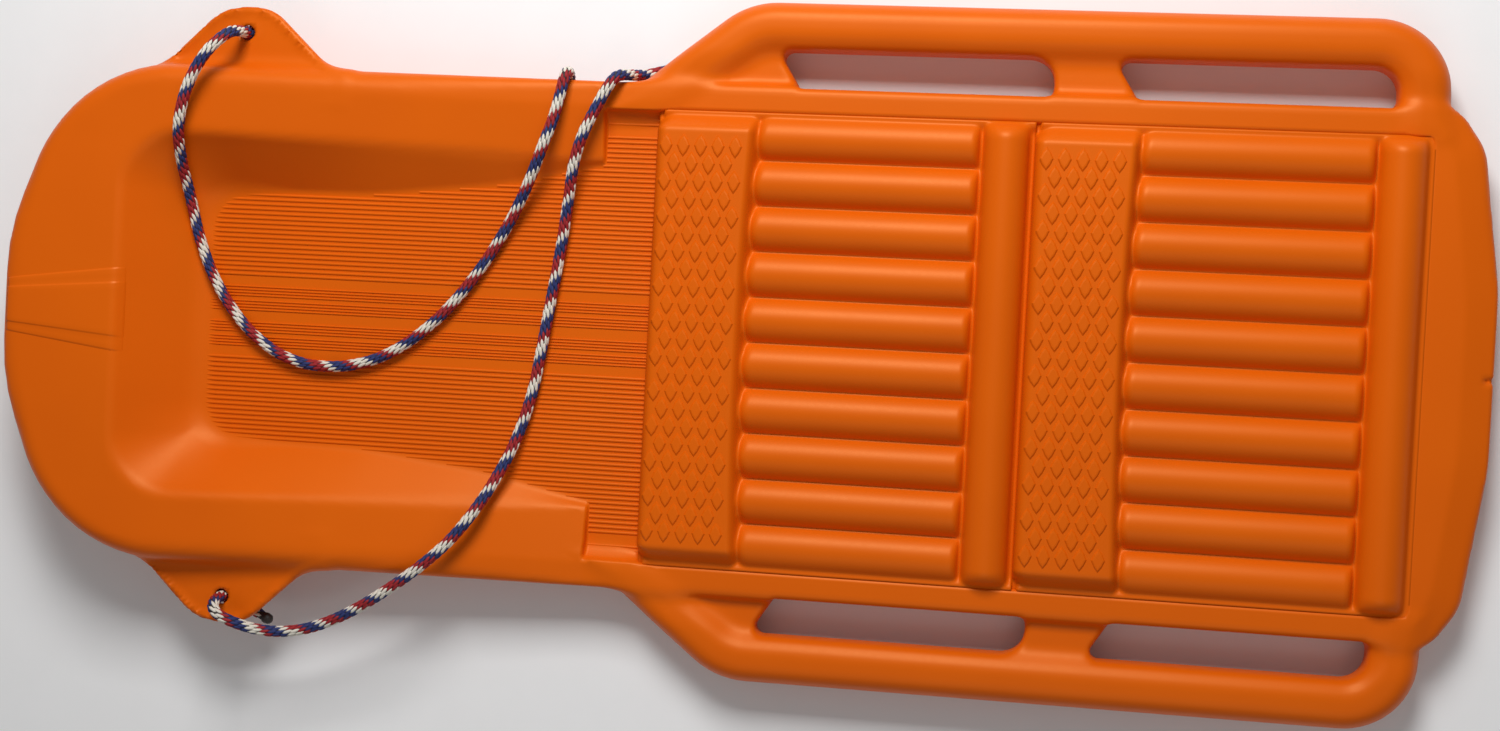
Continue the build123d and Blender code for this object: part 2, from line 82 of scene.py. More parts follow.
# %% Rope line
rope_diameter = 9.5 * MM
lug_y = 0.2345
rope_route = [
    (-0.410, lug_y, 0.050), (-0.410, lug_y, 0.074), (-0.414, 0.228, 0.091),
    (-0.428, 0.211, 0.098), (-0.443, 0.184, 0.096), (-0.451, 0.152, 0.092),
    (-0.456, 0.124, 0.070), (-0.455, 0.097, 0.051), (-0.450, 0.064, 0.043),
    (-0.434, 0.024, 0.039), (-0.404, -0.014, 0.0385), (-0.366, -0.037, 0.0385),
    (-0.322, -0.040, 0.0385), (-0.280, -0.027, 0.0385), (-0.240, 0.004, 0.0385),
    (-0.208, 0.044, 0.0385), (-0.184, 0.084, 0.0395), (-0.166, 0.118, 0.0495),
    (-0.153, 0.148, 0.0605), (-0.144, 0.176, 0.058), (-0.140, 0.196, 0.0575),
    (-0.138, 0.2096, 0.0555), (-0.138, 0.2126, 0.043), (-0.1405, 0.211, 0.0305),
    (-0.142, 0.204, 0.018), (-0.137, 0.197, 0.009), (-0.120, 0.193, 0.0055),
    (-0.094, 0.1935, 0.0054), (-0.066, 0.197, 0.0053), (-0.048, 0.200, 0.0054),
    (-0.038, 0.209, 0.0053), (-0.040, 0.219, 0.0054), (-0.052, 0.223, 0.0053),
    (-0.066, 0.2205, 0.0057), (-0.077, 0.217, 0.0085), (-0.084, 0.2145, 0.018),
    (-0.0875, 0.2128, 0.031), (-0.091, 0.2118, 0.0415), (-0.096, 0.2093, 0.053),
    (-0.102, 0.200, 0.0565), (-0.110, 0.184, 0.056), (-0.120, 0.163, 0.057),
    (-0.128, 0.138, 0.053), (-0.133, 0.108, 0.043), (-0.138, 0.070, 0.0385),
    (-0.144, 0.030, 0.0385), (-0.150, -0.012, 0.0385), (-0.156, -0.052, 0.0385),
    (-0.167, -0.090, 0.0405), (-0.179, -0.120, 0.050), (-0.192, -0.148, 0.066),
    (-0.210, -0.173, 0.070), (-0.234, -0.196, 0.072), (-0.264, -0.219, 0.070),
    (-0.298, -0.241, 0.062), (-0.334, -0.257, 0.058), (-0.366, -0.260, 0.064),
    (-0.390, -0.252, 0.077), (-0.405, -0.243, 0.083), (-0.410, -lug_y, 0.070),
    (-0.410, -lug_y, 0.050),
]


def smooth_line(points, resolution=10):
    """The points along a clamped NURBS line, read back as Blender evaluates it."""
    curve = bpy.data.curves.new("line", "CURVE")
    curve.dimensions = "3D"
    curve.resolution_u = resolution
    spline = curve.splines.new("NURBS")
    spline.points.add(len(points) - 1)
    for point, place in zip(spline.points, points):
        point.co = (*place, 1.0)
    spline.order_u = 3
    spline.use_endpoint_u = True
    holder = bpy.data.objects.new("line", curve)
    bpy.context.scene.collection.objects.link(holder)
    bpy.context.view_layer.update()
    evaluated = holder.evaluated_get(bpy.context.evaluated_depsgraph_get())
    mesh = bpy.data.meshes.new_from_object(evaluated)
    line = [vertex.co.copy() for vertex in mesh.vertices]
    bpy.data.objects.remove(holder)
    bpy.data.meshes.remove(mesh)
    return line


def line_length(line):
    """Length of a row of points."""
    return sum((b - a).length for a, b in zip(line, line[1:]))


rope_line = smooth_line(rope_route)
print("rope line:", len(rope_line), "points,", round(line_length(rope_line), 3), "m")

# %% [markdown]
# Geometry Nodes will make everything that repeats, and materials are node trees too.
# `feed` and `new_node` place the nodes of both. A small class keeps each geometry tree
# short: `Tree` opens a node group with named inputs and closes it in the same way.

# %% Geometry Nodes helper
def feed(tree, socket, value):
    """Links a socket to another one, or sets it."""
    if isinstance(value, bpy.types.NodeSocket):
        tree.links.new(value, socket)
    else:
        socket.default_value = value


def new_node(tree, kind, options, sockets):
    """One node. A socket is named by its label, or by s0, s1 ... for its place."""
    node = tree.nodes.new(kind)
    for option, value in (options or {}).items():
        setattr(node, option, value)
    for label, value in sockets.items():
        by_place = label[0] == "s" and label[1:].isdigit()
        feed(tree, node.inputs[int(label[1:]) if by_place else label.replace("_", " ")], value)
    return node.outputs


class Tree:
    """A Geometry Nodes group with a Geometry input, a material and named sizes."""

    def __init__(self, name, **sizes):
        self.group = bpy.data.node_groups.new(name, "GeometryNodeTree")
        face = self.group.interface
        face.new_socket("Geometry", in_out="INPUT", socket_type="NodeSocketGeometry")
        face.new_socket("Geometry", in_out="OUTPUT", socket_type="NodeSocketGeometry")
        face.new_socket("Finish", in_out="INPUT", socket_type="NodeSocketMaterial")
        for label, kind in sizes.items():
            face.new_socket(label, in_out="INPUT", socket_type="NodeSocket" + kind)
        self.inputs = self.group.nodes.new("NodeGroupInput").outputs

    def add(self, kind, options=None, **sockets):
        """One node, and its outputs."""
        return new_node(self.group, kind, options, sockets)

    def maths(self, operation, a, b=0.0):
        """One Math node."""
        return self.add("ShaderNodeMath", {"operation": operation}, s0=a, s1=b)[0]

    def shifted(self, place, arrow, size):
        """A place moved along an arrow, by size times its length."""
        step = self.add("ShaderNodeVectorMath", {"operation": "SCALE"}, s0=arrow, Scale=size)[0]
        return self.add("ShaderNodeVectorMath", {"operation": "ADD"}, s0=place, s1=step)[0]

    def finish(self, geometry):
        """Realizes the instances, sets the finish and closes the tree."""
        solid = self.add("GeometryNodeRealizeInstances", Geometry=geometry)[0]
        solid = self.add("GeometryNodeSetMaterial", s0=solid, Material=self.inputs["Finish"])[0]
        output = self.group.nodes.new("NodeGroupOutput")
        self.group.links.new(solid, output.inputs[0])
        return self.group


def link_mesh(name, mesh):
    """A new object at the origin that shows a mesh."""
    piece = bpy.data.objects.new(name, mesh)
    bpy.context.scene.collection.objects.link(piece)
    return piece


def grow(name, guide, group, finish, **sizes):
    """Runs a tree on a guide mesh and keeps the result as a plain mesh."""
    holder = link_mesh(name + "_guide", guide)
    modifier = holder.modifiers.new("grow", "NODES")
    modifier.node_group = group
    values = {"Finish": finish, **sizes}
    for item in group.interface.items_tree:
        if item.in_out == "INPUT" and item.name in values:
            modifier[item.identifier] = values[item.name]
    bpy.context.view_layer.update()
    evaluated = holder.evaluated_get(bpy.context.evaluated_depsgraph_get())
    mesh = bpy.data.meshes.new_from_object(evaluated)
    holder.modifiers.remove(modifier)
    bpy.data.objects.remove(holder)
    mesh.name = name
    return link_mesh(name, mesh)


def guide_mesh(name, points, edges):
    """A mesh of loose edges for a tree to follow."""
    mesh = bpy.data.meshes.new(name)
    mesh.from_pydata([tuple(point) for point in points], edges, [])
    return mesh


def guide_line(name, line):
    """The same for one row of points."""
    return guide_mesh(name, line, [(i, i + 1) for i in range(len(line) - 1)])


# %% [markdown]
# `Value` wraps a shader socket so that the maths of a finish reads as an ordinary
# expression, and `Finish.add` places any other node.

# %% Shader helper
class Value:
    """A shader socket with arithmetic."""

    def __init__(self, finish, socket):
        self.finish = finish
        self.socket = socket

    def _maths(self, operation, a, b):
        return self.finish.add("ShaderNodeMath", {"operation": operation}, s0=a, s1=b)

    def __add__(self, other):
        return self._maths("ADD", self, other)

    __radd__ = __add__

    def __mul__(self, other):
        return self._maths("MULTIPLY", self, other)

    __rmul__ = __mul__

    def __gt__(self, other):
        return self._maths("GREATER_THAN", self, other)


class Finish:
    """A material whose nodes end in one Principled shader."""

    def __init__(self, name):
        self.material = bpy.data.materials.new(name)
        self.material.use_nodes = True
        self.tree = self.material.node_tree
        self.shader = self.tree.nodes["Principled BSDF"]

    def add(self, kind, options=None, out=0, **sockets):
        """One node, and one of its outputs."""
        plain = {label: self.plain(value) for label, value in sockets.items()}
        return Value(self, new_node(self.tree, kind, options, plain)[out])

    def plain(self, value):
        """The socket that a Value wraps, or anything else as it is."""
        return value.socket if isinstance(value, Value) else value

    def set(self, **sockets):
        """Feeds the Principled shader."""
        for label, value in sockets.items():
            feed(self.tree, self.shader.inputs[label.replace("_", " ")], self.plain(value))

    def mix(self, share, first, second):
        """One colour mixed into another."""
        return self.add("ShaderNodeMix", {"data_type": "RGBA"}, out=2, s0=share, s6=first, s7=second)

    def place(self):
        """Object coordinates, which are metres here."""
        return self.add("ShaderNodeTexCoord", out=3)

    def noise(self, scale, detail=3.0, roughness=0.5):
        """Noise over the object, from 0 to 1."""
        return self.add("ShaderNodeTexNoise", Vector=self.place(), Scale=scale,
                        Detail=detail, Roughness=roughness)

    def bump(self, height, distance, strength=1.0):
        """Fine relief for the shader's normal."""
        self.set(Normal=self.add("ShaderNodeBump", Height=height, Distance=distance,
                                 Strength=strength))


# %% [markdown]
# Polyethylene from a blow mould is satin, not glossy. Its grain is finer than a
# millimetre, its colour varies very slightly where the wall is thicker, and it carries
# light scuffs that are a little duller than the rest.

# %% Moulded plastic
def moulded_plastic():
    """Satin orange polyethylene."""
    finish = Finish("orange_polyethylene")
    cloud = finish.noise(9.0, 2.0)
    colour = finish.mix(cloud, (0.80, 0.132, 0.0015, 1.0), (0.72, 0.110, 0.001, 1.0))
    scuff = finish.noise(260.0, 4.0, 0.7)
    finish.set(Base_Color=colour, Roughness=0.36 + 0.08 * scuff + 0.04 * cloud)
    grain = finish.noise(1900.0, 2.0)
    finish.bump(grain, 0.00006, 0.5)
    finish.set(IOR=1.5, Specular_IOR_Level=0.45, Specular_Tint=(1.0, 0.60, 0.26, 1.0))
    return finish.material


plastic = moulded_plastic()
print("finish:", plastic.name)

# %% [markdown]
# The rope is a solid braid: nine columns of short stitches around a core, in cream,
# navy and red plies that wind along it. Each stitch is stored with its ply's number, and
# the finish turns that number into a colour and adds the fine lines of the yarn. The core
# is stored as ply 3, which the finish paints near black as painted shade between stitches.

# %% Rope finishes
def braided_yarn():
    """Cream, navy and red yarn, and painted shade for the gaps between stitches."""
    finish = Finish("braided_yarn")
    ply = finish.add("ShaderNodeAttribute", {"attribute_name": "ply"}, out=2)
    cream, navy, red = (0.85, 0.80, 0.69, 1.0), (0.010, 0.028, 0.15, 1.0), (0.36, 0.006, 0.012, 1.0)
    colour = finish.mix(ply > 0.5, cream, navy)
    colour = finish.mix(ply > 1.5, colour, red)
    # Ply 3 is the core: near black, as painted shade where it shows between the stitches.
    colour = finish.mix(ply > 2.5, colour, (0.03, 0.022, 0.022, 1.0))
    fibre = finish.noise(1500.0, 2.0)
    soil = finish.noise(60.0, 3.0)
    colour = finish.mix(0.15 * fibre + 0.10 * soil, colour, (0.05, 0.03, 0.02, 1.0))
    finish.set(Base_Color=colour, Roughness=0.62 + 0.2 * fibre)
    finish.bump(fibre, 0.0003, 0.7)
    return finish.material


def melted_yarn():
    """Blackened plastic where the rope's end was melted shut."""
    finish = Finish("melted_yarn")
    lumps = finish.noise(420.0, 4.0, 0.6)
    colour = finish.mix(lumps, (0.012, 0.010, 0.010, 1.0), (0.05, 0.035, 0.03, 1.0))
    finish.set(Base_Color=colour, Roughness=0.3 + 0.4 * lumps)
    finish.bump(lumps, 0.0008, 0.8)
    return finish.material


yarn = braided_yarn()
melted = melted_yarn()
print("finishes:", yarn.name, melted.name)

# %% [markdown]
# The braid tree walks along the line. Point number n sits in column n mod 9, and every
# second column is shifted by half a row, so stitches interlock as real ones do. A
# stitch lies along the rope, turned a little, and its ply follows from how far along
# and how far around it is.

# %% Braid tree
columns = 9
stitch_row = 6.4 * MM
ply_pitch = 31.0 * MM


def braid_tree():
    """Stitches around a core, along a line of edges."""
    tree = Tree("braid", Rope_Radius="Float", Row="Float", Columns="Int", Pitch="Float")
    take = tree.inputs
    curve = tree.add("GeometryNodeMeshToCurve", Mesh=take["Geometry"])[0]
    length = tree.add("GeometryNodeCurveLength", Curve=curve)[0]
    rows = tree.maths("FLOOR", tree.maths("DIVIDE", length, take["Row"]))
    count = tree.maths("MULTIPLY", rows, take["Columns"])
    seeds = tree.add("GeometryNodeMeshLine", Count=count)[0]
    index = tree.add("GeometryNodeInputIndex")[0]
    column = tree.maths("MODULO", index, take["Columns"])
    row = tree.maths("FLOOR", tree.maths("DIVIDE", index, take["Columns"]))
    shift = tree.maths("MULTIPLY", tree.maths("MODULO", column, 2.0), 0.5)
    along = tree.maths("MULTIPLY", tree.maths("ADD", tree.maths("ADD", row, shift), 0.25), take["Row"])
    around = tree.maths("DIVIDE", column, take["Columns"])
    sample = tree.add("GeometryNodeSampleCurve", {"mode": "LENGTH", "use_all_curves": True},
                      Curves=curve, Length=along)
    place, tangent, normal = sample[1], sample[2], sample[3]
    angle = tree.maths("MULTIPLY", around, 2 * pi)
    out = tree.add("ShaderNodeVectorRotate", Vector=normal, Axis=tangent, Angle=angle)[0]
    lay = tree.add("ShaderNodeVectorRotate", Vector=tangent, Axis=out, Angle=radians(14.0))[0]
    reach = tree.maths("MULTIPLY", take["Rope_Radius"], 0.76)
    spot = tree.shifted(place, out, reach)
    turn = tree.add("FunctionNodeAxesToRotation", Primary_Axis=out, Secondary_Axis=lay)[0]
    turns = tree.maths("SUBTRACT", tree.maths("DIVIDE", along, take["Pitch"]), around)
    ply = tree.maths("FLOOR", tree.maths("MULTIPLY", tree.maths("FRACT", turns), 3.0))
    placed = tree.add("GeometryNodeSetPosition", Geometry=seeds, Position=spot)[0]
    marked = tree.add("GeometryNodeStoreNamedAttribute", Geometry=placed, Name="ply", Value=ply)[0]
    ball = tree.add("GeometryNodeMeshUVSphere", Segments=6, Rings=5, Radius=1.0)[0]
    sizes = tree.add("ShaderNodeCombineXYZ", X=tree.maths("MULTIPLY", take["Row"], 0.72),
                     Y=tree.maths("MULTIPLY", take["Rope_Radius"], 0.31),
                     Z=tree.maths("MULTIPLY", take["Rope_Radius"], 0.235))[0]
    stitch = tree.add("GeometryNodeTransform", Geometry=ball, Scale=sizes)[0]
    stitch = tree.add("GeometryNodeSetShadeSmooth", s0=stitch)[0]
    braid = tree.add("GeometryNodeInstanceOnPoints", Points=marked, Instance=stitch, Rotation=turn)[0]
    ring = tree.add("GeometryNodeCurvePrimitiveCircle", Resolution=10,
                    Radius=tree.maths("MULTIPLY", take["Rope_Radius"], 0.8))[0]
    core = tree.add("GeometryNodeCurveToMesh", Curve=curve, Profile_Curve=ring, Fill_Caps=True)[0]
    # The core carries ply 3, which the finish paints near black as painted shade between stitches.
    core = tree.add("GeometryNodeStoreNamedAttribute", Geometry=core, Name="ply", Value=3.0)[0]
    join = tree.group.nodes.new("GeometryNodeJoinGeometry")
    for part in (core, braid):
        tree.group.links.new(part, join.inputs[0])
    return tree.finish(join.outputs[0])


braid = braid_tree()


def braided(name, line, diameter):
    """A braided piece along a line."""
    piece = grow(name, guide_line(name, line), braid, yarn, Rope_Radius=diameter / 2,
                 Row=stitch_row, Columns=columns, Pitch=ply_pitch)
    print(name, len(piece.data.polygons), "faces")
    return piece


tow_rope = braided("braided_tow_rope", rope_line, rope_diameter)

# %% [markdown]
# A stopper knot under each lug keeps the rope from pulling through. The knot's line is
# a trefoil, the path of a pulled-down overhand knot, and the cut tail leaves it
# sideways. The same tree braids both. The tail's tip is a lumpy melted cap, lathed with
# an uneven radius.

# %% Knots and tails
knot_low, knot_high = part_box("right_knot")
knot_radius = (knot_high.x - knot_low.x) / 2
knot_half = (knot_high.z - knot_low.z) / 2
knot_rope = 0.9 * rope_diameter
tail_length = 44.0 * MM
melt_length = 7.0 * MM


def knot_line(centre):
    """A closed-down overhand knot around a point."""
    swing = (knot_radius - knot_rope / 2) / 3
    lift = knot_half - knot_rope / 2
    steps = 96
    line = []
    for step in range(steps + 1):
        t = 2 * pi * step / steps
        x = swing * (sin(t) + 2 * sin(2 * t))
        y = swing * (cos(t) - 2 * cos(2 * t))
        line.append(centre + Vector((x, y, -lift * sin(3 * t))))
    return line


def close_rings(mesh, rings):
    """Faces between neighbouring rings of points, and a cap at each end."""
    for low, high in zip(rings, rings[1:]):
        for i in range(len(low)):
            beside = (i + 1) % len(low)
            mesh.faces.new((low[i], low[beside], high[beside], high[i]))
    mesh.faces.new(rings[0][::-1])
    mesh.faces.new(rings[-1])


def smooth_piece(name, mesh, finish):
    """A new object that shows a mesh, shaded smooth, in one finish."""
    mesh.shade_smooth()
    mesh.materials.append(finish)
    return link_mesh(name, mesh)


def lathe(name, start, heading, profile, finish, wobble):
    """A closed turned shape along heading, from (distance, radius) pairs, made uneven."""
    sides = 14
    axis = heading.normalized()
    across = axis.orthogonal().normalized()
    up = axis.cross(across)
    chance = np.random.default_rng(5)
    mesh = bmesh.new()
    rings = []
    for distance, radius in profile:
        ring = []
        for side in range(sides):
            angle = 2 * pi * side / sides
            reach = radius * (1 + wobble * (chance.random() - 0.5))
            offset = across * cos(angle) * reach + up * sin(angle) * reach
            ring.append(mesh.verts.new(start + axis * distance + offset))
        rings.append(ring)
    close_rings(mesh, rings)
    bmesh.ops.recalc_face_normals(mesh, faces=mesh.faces)
    data = bpy.data.meshes.new(name)
    mesh.to_mesh(data)
    mesh.free()
    return smooth_piece(name, data, finish)


rope_ends = []
for side_name, side, swing in (("left", -1, radians(28.0)), ("right", 1, radians(-165.0))):
    low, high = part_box(side_name + "_knot")
    centre = (low + high) / 2
    knot = braided(side_name + "_stopper_knot", knot_line(centre), knot_rope)
    heading = Vector((cos(swing), side * sin(swing), 0.0))
    tail_tip = centre + heading * (tail_length - melt_length)
    tail_line = [centre.lerp(tail_tip, step / 8) for step in range(9)]
    tail = braided(side_name + "_cut_tail", tail_line, rope_diameter)
    radius = rope_diameter / 2
    bead = [(-1.5 * MM, 0.8 * radius), (0.0, 0.97 * radius), (2.2 * MM, 0.98 * radius),
            (4.6 * MM, 0.86 * radius), (6.3 * MM, 0.55 * radius), (melt_length, 0.2 * radius)]
    cap = lathe(side_name + "_melted_end", tail_tip, heading, bead, melted, 0.16)
    for piece, node in ((knot, "_knot"), (tail, "_rope_tail")):
        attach(piece, "root")
        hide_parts(side_name + node)
    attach(cap, "root")
    rope_ends += [knot, tail, cap]

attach(tow_rope, "root")
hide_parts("tow_rope")
print("rope pieces:", 1 + len(rope_ends))

# %% [markdown]
# The shell has no sharp corner anywhere, because blown plastic can't fill one. Such a
# form is hard to build from flat faces and bevels, so it is described as a field: a
# rule that gives, for any point, roughly its distance outside the surface. Fields are
# easy to round and to blend. `rounded_meet` keeps what is inside all of several fields
# with a round edge, and `blend` joins two with a soft fillet.

# %% Field helpers
def rounded_meet(fields, radius):
    """Inside every field, with convex edges of that radius."""
    pushed = [field + radius for field in fields]
    deepest = pushed[0]
    total = np.maximum(pushed[0], 0.0) ** 2
    for field in pushed[1:]:
        deepest = np.maximum(deepest, field)
        total = total + np.maximum(field, 0.0) ** 2
    return np.minimum(deepest, 0.0) + np.sqrt(total) - radius


def blend(a, b, width):
    """The lower of two values, with a fillet where they cross."""
    share = np.maximum(width - np.abs(a - b), 0.0) / width
    return np.minimum(a, b) - share * share * width / 4


def blend_up(a, b, width):
    """The higher of two values, with a fillet where they cross."""
    return -blend(-a, -b, width)


def ramp(value, start, end):
    """Smooth change from 0 at start to 1 at end."""
    share = np.clip((value - start) / (end - start), 0.0, 1.0)
    return share * share * (3 - 2 * share)


def rounded_outline(points, radii):
    """A closed outline whose corners are arcs, as a row of points."""
    row = []
    corners = [np.array(point, float) for point in points]
    for i, (corner, radius) in enumerate(zip(corners, radii)):
        back = corners[i - 1] - corner
        on = corners[(i + 1) % len(corners)] - corner
        back, on = back / np.hypot(*back), on / np.hypot(*on)
        turn = pi - np.arccos(np.clip(back @ on, -1.0, 1.0))
        if radius == 0.0 or turn < 0.01:
            row.append(corner)
            continue
        centre = corner + (back + on) / np.hypot(*(back + on)) * radius / cos(turn / 2)
        start = corner + back * radius * tan(turn / 2) - centre
        clockwise = -1.0 if np.cross(back, on) > 0 else 1.0
        steps = max(2, ceil(turn / radians(6.0)))
        for step in range(steps + 1):
            a = clockwise * turn * step / steps
            row.append(centre + (start[0] * cos(a) - start[1] * sin(a),
                                 start[0] * sin(a) + start[1] * cos(a)))
    return np.array(row)


def outside(x, y, outline):
    """Distance from an outline in plan, below 0 inside it."""
    nearest = np.full(np.shape(x), np.inf)
    within = np.zeros(np.shape(x), bool)
    for (ax, ay), (bx, by) in zip(outline, np.roll(outline, -1, 0)):
        ex, ey = bx - ax, by - ay
        along = np.clip(((x - ax) * ex + (y - ay) * ey) / (ex * ex + ey * ey + 1e-18), 0.0, 1.0)
        nearest = np.minimum(nearest, (x - ax - along * ex) ** 2 + (y - ay - along * ey) ** 2)
        if ay != by:
            within ^= ((ay > y) != (by > y)) & (x < ex * (y - ay) / ey + ax)
    return np.where(within, -1.0, 1.0) * np.sqrt(nearest)


def mirrored(points):
    """Half an outline and its mirror image in y."""
    return points + [(x, -y) for x, y in reversed(points)]


# %% [markdown]
# Every main size comes from the frame's boxes: where the nose, the seats, the rails
# and the lugs start and end, and how high each of them is.

# %% Sizes from the frame
hull_low, hull_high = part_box("hull_bottom")
nose_x, stern_x, hull_half = hull_low.x, hull_high.x, hull_high.y
under_z, nose_parting = hull_low.z, hull_high.z
nose_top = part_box("nose_rim")[1].z
deck_low, deck_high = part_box("seat_deck")
rim_end, deck_z = deck_low.x, deck_high.z
side_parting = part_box("stern_rim")[0].z
band_low, band_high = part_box("front_thigh_band")
front_seat, seat_half, band_z = band_low.x, band_high.y, band_high.z
bar_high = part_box("rear_back_bar")[1]
seats_end, bar_z = bar_high.x, bar_high.z
rail_low, rail_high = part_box("right_grab_rail")
lug_low, lug_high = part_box("right_tow_lug")
well_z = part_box("foot_tray")[1].z - 1.0 * MM
lug_x = rope_route[0][0]
print("hull", round(stern_x - nose_x, 3), "x", round(2 * hull_half, 3), "m")

# %% [markdown]
# Five outlines in plan shape the shell: the hull, the foot well's floor and its
# opening, the right rail with its two hand slots, and the right lug. The left side uses
# the same ones, because every rule below reads the distance from the middle.

# %% Outlines
hull_outline = rounded_outline(
    mirrored([(nose_x, 0.062), (nose_x + 0.024, hull_half - 0.068), (nose_x + 0.077, hull_half),
              (stern_x - 0.036, hull_half), (stern_x - 0.015, hull_half - 0.030), (stern_x, 0.060)]),
    [0.220, 0.130, 0.125, 0.026, 0.045, 0.200, 0.200, 0.045, 0.026, 0.125, 0.130, 0.220])
well_floor_outline = rounded_outline(
    mirrored([(nose_x + 0.150, 0.1055), (nose_x + 0.297, 0.1065), (nose_x + 0.407, 0.119),
              (rim_end, 0.139), (front_seat, 0.143)]),
    [0.033, 0.2, 0.3, 0.1, 0.0, 0.0, 0.1, 0.3, 0.2, 0.033])
well_top_outline = rounded_outline(
    mirrored([(nose_x + 0.095, 0.151), (rim_end, 0.1415), (front_seat, 0.146)]),
    [0.050, 0.2, 0.0, 0.0, 0.2, 0.050])
rail_outline = rounded_outline(
    [(rail_low.x - 0.160, hull_half - 0.126), (rail_low.x + 0.088, rail_high.y),
     (rail_high.x - 0.004, rail_high.y), (rail_high.x + 0.008, hull_half - 0.126)],
    [0.0, 0.070, 0.058, 0.0])
rail_width = 39.0 * MM
slot_outer = rail_high.y - rail_width
slot_outlines = []
for inner_front, outer_front, back in ((0.052, 0.033, 0.252), (0.320, 0.301, 0.515)):
    slot_outlines.append(rounded_outline(
        [(inner_front, hull_half), (outer_front, slot_outer), (back, slot_outer), (back, hull_half)],
        [0.006, 0.006, 0.019, 0.007]))
lug_flat = 20.5 * MM
lug_outline = rounded_outline(
    [(lug_low.x, hull_half - 0.030), (lug_x - lug_flat, lug_high.y), (lug_x + lug_flat, lug_high.y),
     (lug_x + 0.074, hull_half), (lug_high.x, hull_half - 0.004), (lug_high.x, hull_half - 0.030)],
    [0.0, 0.045, 0.036, 0.040, 0.0, 0.0])
print("outlines hold", sum(map(len, [hull_outline, well_floor_outline, well_top_outline, rail_outline,
                                     *slot_outlines, lug_outline])), "points")

# %% [markdown]
# The plan rules give, for each place seen from above, how far it is outside each
# outline and how high the top and the underside are there. The top slopes up from the
# seats to the nose, tilts in towards the well, and drops down the well's walls.

# %% Rules in plan
bow_run = 170.0 * MM
bilge = 41.0 * MM
transom = 40.0 * MM
bow_rise = nose_parting - under_z
bow_radius = (bow_run**2 + bow_rise**2) / (2 * bow_rise)
skirt_floor = 28.0 * MM


def rim_height(x, y):
    """Top of the rim and of the deck, before the well is let into it."""
    top = deck_z + (nose_top - deck_z) * np.maximum(rim_end - x, 0.0) / (rim_end - nose_x)
    rear = np.clip((x + 0.52) / (rim_end + 0.52), 0.0, 1.0)
    lean = (0.02 + 0.15 * rear) * ramp(x, rim_end + 0.010, rim_end)
    return top - lean * np.clip(hull_half - 0.020 - y, 0.0, 0.045)


def top_height(x, y, hull):
    """Height of the upper skin."""
    rim = rim_height(x, y)
    floor_out = outside(x, y, well_floor_outline)
    mouth_out = outside(x, y, well_top_outline)
    floor = well_z - (well_z - skirt_floor) * ramp(x, front_seat - 0.001, front_seat + 0.003)
    share = floor_out / np.maximum(floor_out - mouth_out, 1.5 * MM)
    wall = floor + (rim - floor) * share
    hollow = 2 * MM + 8 * MM * ramp(x, -0.36, -0.43)
    wall = blend_up(floor, np.minimum(wall, 1.0), hollow)
    steps_out = np.maximum(np.maximum(rim_end - x, x - seats_end + 1 * MM), y - seat_half + 1 * MM)
    step = floor + 8.0 * np.maximum(steps_out, 0.0)
    opening = np.minimum(wall, step)
    soft = 2.0 * MM + 2.5 * MM * ramp(x, rim_end - 0.010, rim_end - 0.10)
    ridge = ramp(x, 0.520, 0.560)
    fall = 5.5 * MM * np.clip((0.025 + hull) / 0.025, 0.0, 1.0)
    rim = rim - ridge * fall
    return blend(rim, opening, soft)


def under_height(x, y):
    """Height of the lower skin."""
    bow = np.clip(nose_x + bow_run - x, 0.0, 0.999 * bow_radius)
    bow = under_z + bow_radius - np.sqrt(bow_radius**2 - bow**2)
    rise = side_parting - under_z
    side = under_z + (y - hull_half + bilge) * rise / bilge
    back = under_z + (x - stern_x + transom) * rise / transom
    return blend_up(blend_up(bow, side, 10 * MM), back, 8 * MM)


# %% [markdown]
# The shell's field joins the hull, the tube of the rail, the thin webs between the
# slots and the lug. The rail is a band that follows the rail's outline, and its large
# edge radius makes it nearly a round bar.

# %% The shell's field
web_top, web_low = 35.0 * MM, 15.0 * MM
hole_radius = 6.5 * MM
vent_z, vent_radius = 39.0 * MM, 2.2 * MM


def shell_plan(x, y):
    """Everything about a place in plan that doesn't change with height."""
    y = np.abs(y)
    hull = outside(x, y, hull_outline)
    rim = outside(x, y, rail_outline)
    rail = np.maximum(rim, hull_half - 0.028 - y)
    inner = -rim - rail_width
    slots = np.minimum(*[outside(x, y, outline) for outline in slot_outlines])
    lug = outside(x, y, lug_outline)
    edge = 9.0 * MM + 7.0 * MM * ramp(x, rim_end + 0.03, rim_end - 0.06) - 3.0 * MM * ramp(x, 0.53, 0.57)
    hole = np.hypot(x - lug_x, y - lug_y) - hole_radius
    rail_top = rail_high.z - 3 * MM * ramp(y, slot_outer, hull_half)
    top, under = top_height(x, y, hull), under_height(x, y)
    edge = np.minimum(edge, 0.48 * np.maximum(top - under, 4 * MM))
    return hull, rail, inner, slots, lug, edge, hole, x, y, rail_top, top, under


